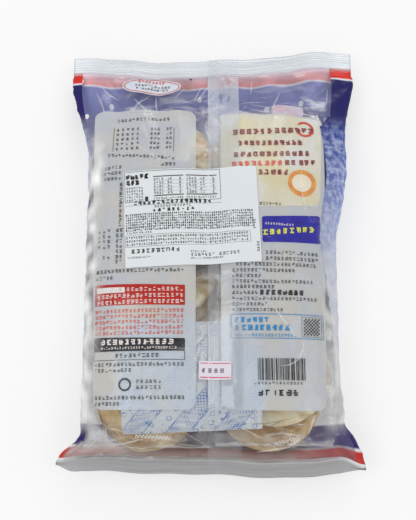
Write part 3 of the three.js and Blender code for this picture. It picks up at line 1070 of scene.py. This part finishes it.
# Snow on the front print, seen from inside through the back, and a plain design under the bag. A disc
# takes its place, its width and height, and how many rings and sectors it is cut into.
for x, y, wide in ((-72.9, 113.6, 3.6), (23.8, 104.5, 3.2), (41.3, 111.3, 3.6), (66.5, 116.3, 3.6),
                   (-30, 108, 3), (-8, 118, 3.2), (84, 104, 3)):
    addDisc("snow", x, y, wide, wide * 1.25)
for x, y, wide in ((-94.4, 129.6, 3.4), (-88.6, 99.6, 3.2), (91.9, 122.6, 3.6), (93.5, 103, 2.6)):
    addDisc("white", x, y, wide, wide * 1.25)
for k in range(30):
    addDisc("snowUnder", draw.uniform(-78, 78), draw.uniform(58, 118), draw.uniform(2.4, 4),
            draw.uniform(3, 4.4))
addDisc("title", 0, 38, 112, 50, 14, 48)
for x, y in ((-34, -34), (34, -34), (0, -76)):
    addDisc("biscuitRim", x, y, 62, 62, 10, 40)
    addDisc("biscuit", x, y, 54, 54, 9, 40)
for ink in ("black", "grey", "red", "brown", "paleBlue", "yellow", "white"):
    makeMarks(ink)

# Painted highlights, white streaks that stand for glints on the film's crinkles, as place, heading, length,
# bend a millimetre and width: the long bow over the right panel, then those round the crackers, in the right
# corner, and across both panels
for streak in ((36, -38, -40, 34, -0.6, 1.3), (59.5, -64, -80, 27, -4.4, 1.3), (-66, -84, 62, 14, -1.5, 1.1),
               (66, -112, -100, 14, 0, 1.6), (50, -131, 30, 10, 0, 2.2), (28, -135, 5, 28, 0, 1.3),
               (-68.5, -129.6, -14, 27, 1.2, 1.2)):
    addPaintedStreak(*streak)
for x in (-78, -76.4, -74, -72.6, -70, -68.4):
    addPaintedStreak(x, -118, -86, 11, 0, 0.7)
addPaintedStreak(64, 60, -100, 46, 0.5, 0.7)
addPaintedStreak(-58, 84, -62, 40, 0.6, 0.7)


# That many painted streaks drawn at random, each value between its two limits
def scatterPaintedStreaks(count, *limits, ink="streak", side=1):
    for _ in range(count):
        x, *others = [draw.uniform(*pair) for pair in limits]
        addPaintedStreak(side * x, *others, ink)


# Painted highlights at random: under the top seal, across the tops of the panels, down both sides and above
# the bottom seal
scatterPaintedStreaks(12, (-84, 84), (112, 130), (-140, -40), (12, 30), (-1.2, 1.2), (0.6, 1.4))
scatterPaintedStreaks(14, (-76, 60), (99, 110), (-22, 22), (10, 30), (-1.4, 1.4), (0.3, 0.8))
for side in (-1, 1):
    scatterPaintedStreaks(14, (76, 84), (-100, 70), (-108, -72), (10, 34), (-0.6, 0.6), (0.3, 0.8), side=side)
scatterPaintedStreaks(16, (-76, 66), (-133, -114), (-28, 28), (8, 26), (-1.6, 1.6), (0.25, 0.6))
makeMarks("streak")

# Brown shadows among the crackers and the wrappers under the lower right of the film
for streak in ((37, -126, 10, 13, -1, 1.6), (24, -117.5, -4, 30, 0.8, 1.2), (52, -123, 25, 13, 1, 1.2),
               (-64, -122, -30, 20, 1, 0.8)):
    addPaintedStreak(*streak, "shadow")
scatterPaintedStreaks(12, (18, 56), (-134, -117), (-40, 50), (5, 14), (-3, 3), (0.5, 1.5), ink="shadow")
makeMarks("shadow")

# The cut ends of the two lowest inner wrappers, where they press up against the film, drawn as white zigzags
# under the film: a painted highlight for the glint on their crimps
zigzag = {"tooth": 1.1, "high": 1, "wide": 0.8}
for x0, y0, x1, y1 in ((-49, -125, -26, -126.5), (41, -130, 57, -126)):
    count = round(math.hypot(x1 - x0, y1 - y0) / zigzag["tooth"])
    edges = []
    for k in range(count + 1):
        x = x0 + (x1 - x0) * k / count
        y = y0 + (y1 - y0) * k / count + zigzag["high"] * (1 if k % 2 else -1)
        edges.append(((x, y + zigzag["wide"] / 2), (x, y - zigzag["wide"] / 2)))
    for (left, right), (nextLeft, nextRight) in zip(edges, edges[1:]):
        marks["teeth"].append([left, right, nextRight, nextLeft])
makeMarks("teeth")
makeMarks("snow", onFront)
for ink in ("snowUnder", "title", "biscuitRim", "biscuit"):
    makeMarks(ink, onFront, -1)
print("printed marks made")


# Sticker paper: matt, with faint fibres, lying over the film and the seam
def paperMaterial(name, colour, second, roughness):
    material, add = newMaterial(name)
    coords = add("TexCoord").outputs["Object"]
    fibre = add("TexNoise", {"Vector": coords, "Scale": 900, "Detail": 4})
    cloud = add("TexNoise", {"Vector": coords, "Scale": 40, "Detail": 3})
    shade = add("Mix", {"data_type": "RGBA", 0: cloud, 6: linear(colour), 7: linear(second)})
    bump = add("Bump", {"Height": fibre, "Strength": 0.25, "Distance": 0.03 * mm})
    paper = add("BsdfPrincipled", {"Base Color": shade.outputs[2], "Roughness": roughness, "Normal": bump})
    return finishMaterial(material, paper)


# A label that lies on the film and steps up over the seam. It gives back the function that finds places on
# its face.
def makeLabel(name, label, material):
    piece = cutField(name, rounded(turnedBox(label), 0.8), label["lift"])
    x = pointsOf(piece)[:, 0]
    overSeam = ease(fin["from"] - 1.6, fin["from"], x) * ease(fin["to"] + 1.6, fin["to"], x)
    displace(piece, overSeam * (fin["lift"] + fin["thick"] + 0.2))
    tree = treeOf(piece)

    def ground(x, y):
        return landOn(tree, x, y, 1, clearOf["above"], bag["crown"])
    thicken(piece, label["thick"], -1)
    settle(piece, material, 40, name)
    return ground


sticker = paperMaterial("stickerPaper", "#D3D8DC", "#DADFE2", 0.5)
onInfo = makeLabel("info_label", infoLabel, sticker)
priceSticker = paperMaterial("pricePaper", "#D6CEDA", "#DDD6E0", 0.55)
onPrice = makeLabel("price_label", priceLabel, priceSticker)
makeMarks("label", onInfo, 1, "info_label")
for ink in ("price", "priceRed"):
    makeMarks(ink, onPrice, 1, "price_label")
print("labels made")

# Rice crackers: puffed and baked discs with a bubbly face, browned in spots, and a white sugar glaze
cracker = {"radius": 35, "thick": 8, "gap": 0.6, "bubbles": 0.7, "grain": 0.3, "glazeRise": 0.35, "warp": 0.9}
# Where each wrapped pair lies: its middle, its tilt in degrees with the far edge up, and how far its upper
# cracker has slipped towards the top seal. Each pair leans on the one before it.
pairs = [
    (-42, -96.5, 19, -1, 3), (-33, -60, 24.5, -20, 3), (-30.5, -20, 24.5, -20, 3), (-33, 20, 24.5, -20, 3),
    (-34, 60, 25, -14, 2.5),
    (41.5, -91.5, 19.5, -1, 8), (38, -56, 24.5, -20, 3), (39, -18, 24.5, -20, 3), (37, 21, 24.5, -20, 3),
    (37, 60, 25, -14, 2.5),
]
lowLeft = 0  # the two pairs that show below the panels
lowRight = 5


# Turns places on a tilted piece into places in the bag
def tilted(place, tilt, a, b, c):
    cosine = math.cos(math.radians(tilt))
    sine = math.sin(math.radians(tilt))
    x, y, z = place
    return np.stack([x + a, y + b * cosine - c * sine, z + b * sine + c * cosine], axis=-1)


# glazed and dipped say how much of the top has icing, and of the lower side too. The next number says how
# much toasted edge a lower cracker has, with painted shadow beside the edge of the cracker lying on it.
# covered is how far its partner has slipped over it.
def makeCracker(index, place, tilt, glazed, dipped, covered, toastAndShade):
    bpy.ops.mesh.primitive_uv_sphere_add(segments=80, ring_count=28, radius=1)
    piece = bpy.context.object
    ball = pointsOf(piece) * mm
    reach = np.hypot(ball[:, 0], ball[:, 1])
    angle = np.arctan2(ball[:, 1], ball[:, 0])
    rim = np.array([noise.noise((2.2 * math.cos(t), 2.2 * math.sin(t), 5.1 * index)) for t in angle])
    radius = cracker["radius"] * np.sqrt(reach) * (1 + 0.025 * rim)
    a = radius * np.cos(angle)
    b = radius * np.sin(angle)
    c = cracker["thick"] / 2 * np.sign(ball[:, 2]) * np.abs(ball[:, 2]) ** 0.6
    spots = list(zip(a, b, c))
    bubbles = np.array([noise.noise((x / 9, y / 9, z / 9 + 3 * index)) for x, y, z in spots])
    grain = np.array([noise.noise((x / 2.6, y / 2.6, z / 2.6 + 7 * index)) for x, y, z in spots])
    drizzle = np.array([noise.noise((x / 13, y / 6 + 0.3 * x / 6, 11 * index)) for x, y, z in spots])
    uneven = np.clip(0.75 + 0.9 * bubbles + 0.5 * grain, 0, 1)
    drizzled = ease(-0.02, 0.12, drizzle) * ease(0.5, 1.5, c) * glazed
    glaze = np.maximum(drizzled, ease(-3, -1, c) * dipped * uneven)
    swell = cracker["bubbles"] * bubbles + cracker["grain"] * grain + cracker["glazeRise"] * glaze
    warp = cracker["warp"] * np.sin(angle * 2 + index) * (radius / cracker["radius"]) ** 2
    c = c + np.sign(ball[:, 2]) * swell + warp
    movePoints(piece, tilted(place, tilt, a, b, c))
    rimmed = ease(0.74, 1, radius / cracker["radius"])
    # Painted shadow on a lower cracker, darkest next to the edge of the cracker lying on it
    contactShade = ease(cracker["radius"] + 7, cracker["radius"], np.hypot(a, b - covered))
    addValues(piece, {"glaze": glaze, "rim": np.maximum(0.5 * rimmed, toastAndShade * (0.35 + contactShade))})
    return piece


# Baked rice: a crust that is pale and toasted in patches and browner at the rim, with pores, under cream
# coloured icing. Next to the edge of a partner lying on it, a lower cracker is darker brown with painted
# shadow.
def crackerMaterial():
    material, add = newMaterial("bakedRice")
    coords = add("TexCoord").outputs["Object"]
    patch = add("TexNoise", {"Vector": coords, "Scale": 90, "Detail": 5, "Roughness": 0.6})
    toast = addRamp(add, patch, 0, 1, [
        (0.34, "#F4E2AC"), (0.46, "#E9CC8C"), (0.56, "#D2AA66"), (0.68, "#AA7E44")])
    glaze = add("Attribute", {"attribute_name": "glaze"}).outputs["Fac"]
    rim = add("Attribute", {"attribute_name": "rim"}).outputs["Fac"]
    toastAndShade = add("Math", {"operation": "MULTIPLY", 0: rim, 1: 0.8, "use_clamp": True})
    crust = add("Mix", {"data_type": "RGBA", 0: toastAndShade, 6: toast, 7: linear("#A98048")})
    colour = add("Mix", {"data_type": "RGBA", 0: glaze, 6: crust.outputs[2], 7: linear("#F6ECCB")})
    pores = add("TexNoise", {"Vector": coords, "Scale": 700, "Detail": 4})
    bump = add("Bump", {"Height": pores, "Strength": 0.6, "Distance": 0.35 * mm})
    crumb = add("BsdfPrincipled", {
        "Base Color": colour.outputs[2], "Roughness": 0.55, "Subsurface Weight": 0.15,
        "Subsurface Radius": (4 * mm, 2.5 * mm, 1.2 * mm), "Normal": bump})
    return finishMaterial(material, crumb)


def joined(pieces, name):
    bpy.ops.object.select_all(action="DESELECT")
    for piece in pieces:
        piece.select_set(True)
    bpy.context.view_layer.objects.active = pieces[0]
    bpy.ops.object.join()
    whole = bpy.context.object
    whole.name = whole.data.name = name
    return whole


crackers = []
for index, (x, y, z, tilt, slip) in enumerate(pairs):
    for upper in (-1, 1):
        t = math.radians(tilt)
        rise = upper * (cracker["thick"] + cracker["gap"]) / 2
        aside = upper * 3 if index == lowRight else draw.uniform(-1, 1)
        spot = (x + aside, y - rise * math.sin(t) + upper * slip, z + rise * math.cos(t))
        glazed = 0.15 if index == lowLeft else 0.35 if upper < 0 else 1.0
        dipped = 0.8 if index == lowRight and upper > 0 else 0.0
        # Lower crackers get toast and painted shadow, the lowest right one the most
        toastAndShade = 0 if upper > 0 else 1.6 if index == lowRight else 0.15
        number = 2 * index + (upper + 1) // 2
        crackers.append(makeCracker(number, spot, tilt, glazed, dipped, 2 * slip, toastAndShade))
settle(joined(crackers, "crackers"), crackerMaterial())
print("crackers made")

# Inner wrappers: a clear pouch round each pair, crimped and cut to a zigzag at both ends
wrapper = {
    "half": 42,
    "end": 52,
    "crimp": 46,  # how far from the middle the crimps start
    "inside": 9.4,  # half its height round the crackers
    "round": 32,  # how far from its middle it falls in past the crackers
    "teeth": 0.7,
    "step": 1.2,  # between its points across
    "rows": 64,
    "bend": 5.0,  # radius of the turned-up ends
    "clear": 0.9,  # to the film over it
    "sachet": 4,  # and that much more where the sachet lies over it
    "clearBelow": 0.5,  # to the film under it
    "wave": {"apart": 13, "high": 0.9, "fineApart": 5.5, "fineHigh": 0.3},
}


# curls holds, for the near and the far end, how far the end turns up in radians and where it starts to
def makeWrapper(index, place, tilt, curls):
    columns = 2 * round(2 * wrapper["half"] / wrapper["step"])
    rows = wrapper["rows"]
    bend = wrapper["bend"]
    rough = wrapper["wave"]

    def shape(column, row):
        side = columns // 2
        isUnder = column > side
        face = np.where(isUnder, -1, 1)
        a = wrapper["half"] * (2 * np.where(isUnder, columns - column, column) / side - 1)
        b = wrapper["end"] * (2 * row / rows - 1)
        reach = np.hypot(a, b)
        fall = np.where(reach < wrapper["round"], 1.0, hump(reach, wrapper["round"], 7))
        shut = np.sqrt(np.clip(1 - (np.abs(a) / wrapper["half"]) ** 6, 0, 1))
        shut = shut * ease(wrapper["crimp"], 38, np.abs(b))
        wave = rough["high"] * creases(a + 300 * isUnder, b * 1.2, rough["apart"], 3.3 + index)
        wave = wave + rough["fineHigh"] * creases(a, b, rough["fineApart"], 8.1 + index)
        loose = ease(26, 34, reach)
        c = face * shut * (wrapper["inside"] * fall + 0.5 + wave * (0.25 + 0.9 * loose))
        teeth = wrapper["teeth"] * np.where(column % 2 == 0, 1, -1) * (np.abs(b) > wrapper["end"] - 0.1)
        uneven = np.array([noise.noise((q / 17, 3.7 * index, 0.4 * np.sign(v))) for q, v in zip(a, b)])
        b = b + (teeth + 7 * uneven * ease(34, wrapper["end"], np.abs(b))) * np.sign(b)
        a = a * (1 - 0.09 * np.abs(uneven))
        turn = np.where(b < 0, curls[0][0], curls[1][0])
        start = np.where(b < 0, curls[0][1], curls[1][1])
        past = np.maximum(np.abs(b) - start, 0)
        swing = np.minimum(past / bend, np.abs(turn))
        straight = np.maximum(past - bend * np.abs(turn), 0)
        newB = np.minimum(np.abs(b), start) + bend * np.sin(swing) + straight * np.cos(np.abs(turn))
        a = a + 2.2 * np.sin(b / 7 + index) * ease(30, wrapper["half"], np.abs(a)) * np.sign(a)
        newC = np.sign(turn) * (bend * (1 - np.cos(swing)) + straight * np.sin(np.abs(turn)))
        flap = (2.6 * np.sin(a / 8 + index) + 5 * uneven) * ease(34, 50, np.abs(b))
        spots = tilted(place, tilt, a, np.sign(b) * newB, c + newC + flap)
        crimped = ease(wrapper["crimp"] - 0.5, wrapper["crimp"] + 0.5, np.abs(b))
        # A whiter band along the middle of each cut end: painted highlight for the glint on its zigzag
        edge = (rows / 2 - np.abs(row - rows / 2) < 0.5) * hump(a, 7, 11)
        # White side flaps: crumpled film, lightened further with painted sheen
        flaps = 0.35 if index in (lowLeft, lowRight) else 1.1
        crumpled = flaps * ease(31, 38, np.abs(a)) * (0.6 + 0.4 * np.sin(b / 3.1 + a / 4 + index))
        return spots, {"crimp": np.maximum(0.35 * crimped, crumpled) + 2.4 * edge}
    piece = shapedGrid("wrapper", columns, rows, shape)
    mergeDoubles(piece)
    spots = pointsOf(piece)
    for k, (x, y, z) in enumerate(spots):
        spot, _ = onBack(x, y)
        room = wrapper["clear"] + wrapper["sachet"] * float(under(sachet, x, y))
        spots[k, 2] = max(min(z, spot.z - room), frontHeight(x, y) + wrapper["clearBelow"])
    movePoints(piece, spots)
    return piece


# Thin film: clear and colourless, with a skin that glints on each crinkle, white in the crimps and on the
# crumpled side flaps, with painted highlight along the cut ends and painted sheen on the flaps
def wrapperMaterial():
    material, add = newMaterial("thinFilm")
    coords = add("TexCoord").outputs["Object"]
    crimp = add("Attribute", {"attribute_name": "crimp"}).outputs["Fac"]
    streak = add("TexNoise", {"Vector": coords, "Scale": 90, "Detail": 2, "Distortion": 1.5})
    ridge = add("Math", {"operation": "PINGPONG", 0: streak, 1: 0.09})
    bump = add("Bump", {"Height": ridge, "Strength": 1.0, "Distance": 1.6 * mm})
    skin = add("BsdfPrincipled", {
        "Base Color": linear("#FFFFFF"), "Metallic": 0.5, "Roughness": 0.14, "Normal": bump})
    slant = add("Fresnel", {"IOR": 1.45, "Normal": bump})
    haze = add("MapRange", {"Value": crimp, "From Min": 0, "From Max": 3, "To Min": 0.012, "To Max": 0.85})
    cover = add("Math", {"operation": "MULTIPLY_ADD", 0: slant, 1: 0.36, 2: haze, "use_clamp": True})
    return finishMaterial(material, skin, cover)


wrappers = []
for index, (x, y, z, tilt, _) in enumerate(pairs):
    folded = ((3.0, 31 + index * 0.8), (0.5, 35))  # folded over, so the zigzag edge lies on the cracker
    curls = folded if index in (lowLeft, lowRight) else ((0.5, 35), (-0.4, 35))
    wrappers.append(makeWrapper(index, (x, y, z), tilt, curls))
settle(joined(wrappers, "wrappers"), wrapperMaterial())
print("wrappers made")


# The sachet: soft white paper with a blue print, pressed up against the back film
def makeSachet():
    columns = sachet["columns"]
    rows = sachet["rows"]

    def shape(column, row):
        side = columns // 2
        isUnder = column > side
        a = sachet["wide"] / 2 * (2 * np.where(isUnder, columns - column, column) / side - 1)
        b = sachet["high"] * (row / rows - 0.5)
        spots = [onLabel(sachet, p, q) for p, q in zip(a, b)]
        edge = np.minimum(sachet["wide"] / 2 - np.abs(a), sachet["high"] / 2 - np.abs(b))
        puff = sachet["puff"] * ease(5, 18, edge)
        places = []
        for (x, y), down, thick in zip(spots, isUnder, puff):
            around = [onBack(x + dx, y + dy)[0].z for dx, dy in ((0, 0), (2, 0), (-2, 0), (0, 2), (0, -2))]
            places.append((x, y, min(around) - sachet["under"] - (thick if down else 0)))
        return np.array(places), {}
    piece = shapedGrid("sachet", columns, rows, shape)
    mergeDoubles(piece)
    return piece


# Soft matt paper, a little grey behind the film, with the blue print on it
def sachetMaterial():
    material, add = newMaterial("sachetPaper")
    coords = add("TexCoord").outputs["Object"]
    soft = sachetPrint(add, coords)
    colour = add("Mix", {"data_type": "RGBA", 0: soft, 6: linear("#CACED1"), 7: linear("#2F62AA")})
    fibre = add("TexNoise", {"Vector": coords, "Scale": 800, "Detail": 3})
    bump = add("Bump", {"Height": fibre, "Strength": 0.4, "Distance": 0.05 * mm})
    paper = add("BsdfPrincipled", {"Base Color": colour.outputs[2], "Roughness": 0.6, "Normal": bump})
    return finishMaterial(material, paper)


settle(makeSachet(), sachetMaterial(), 60)
bpy.data.objects.remove(backSheet)
print("sachet made")

# Plain pale floor, soft studio light from above the top seal, and the camera
studio = {"floor": "#A8A8A8", "glow": 0.54, "world": 0.7}
bpy.ops.mesh.primitive_plane_add(size=8, location=(0, 0, 0))
floor = bpy.context.object
floor.name = "floor"
floorMaterial, addToFloor = newMaterial("paleFloor")
floorPaint = addToFloor("BsdfPrincipled", {
    "Base Color": linear(studio["floor"]), "Roughness": 0.9, "Emission Color": linear("#FFFFFF"),
    "Emission Strength": studio["glow"]})
floor.data.materials.append(finishMaterial(floorMaterial, floorPaint))

world = bpy.data.worlds.new("studio")
bpy.context.scene.world = world
world.use_nodes = True
world.node_tree.nodes["Background"].inputs["Color"].default_value = linear("#FFFFFF")
world.node_tree.nodes["Background"].inputs["Strength"].default_value = studio["world"]


def addLight(name, size, power, place):
    bpy.ops.object.light_add(type="AREA", location=place)
    lamp = bpy.context.object
    lamp.name = name
    lamp.data.size = size
    lamp.data.energy = power
    lamp.rotation_euler = Vector(place).to_track_quat("Z", "Y").to_euler()


addLight("left_softbox", 0.8, 4.9, (-0.85, -0.1, 1.3))
addLight("top_softbox", 0.6, 3.4, (0.2, 1.25, 0.85))
addLight("right_softbox", 0.6, 2.2, (0.95, -0.1, 1.1))
addLight("low_softbox", 0.6, 1.7, (0.2, -1.3, 0.75))

view = {"aim": Vector((-2, -4, 15)) * mm, "distance": 0.62, "tilt": math.radians(12.5), "lens": 61.6}
bpy.ops.object.camera_add()
camera = bpy.context.object
camera.data.sensor_width = 36
camera.data.lens = view["lens"]
toCamera = Vector((0, -math.sin(view["tilt"]), math.cos(view["tilt"])))
camera.location = view["aim"] + toCamera * view["distance"]
camera.rotation_euler = toCamera.to_track_quat("Z", "Y").to_euler()
camera.data.clip_start = 0.01
bpy.context.scene.camera = camera
bpy.context.scene.view_settings.view_transform = "Standard"
print("studio made")
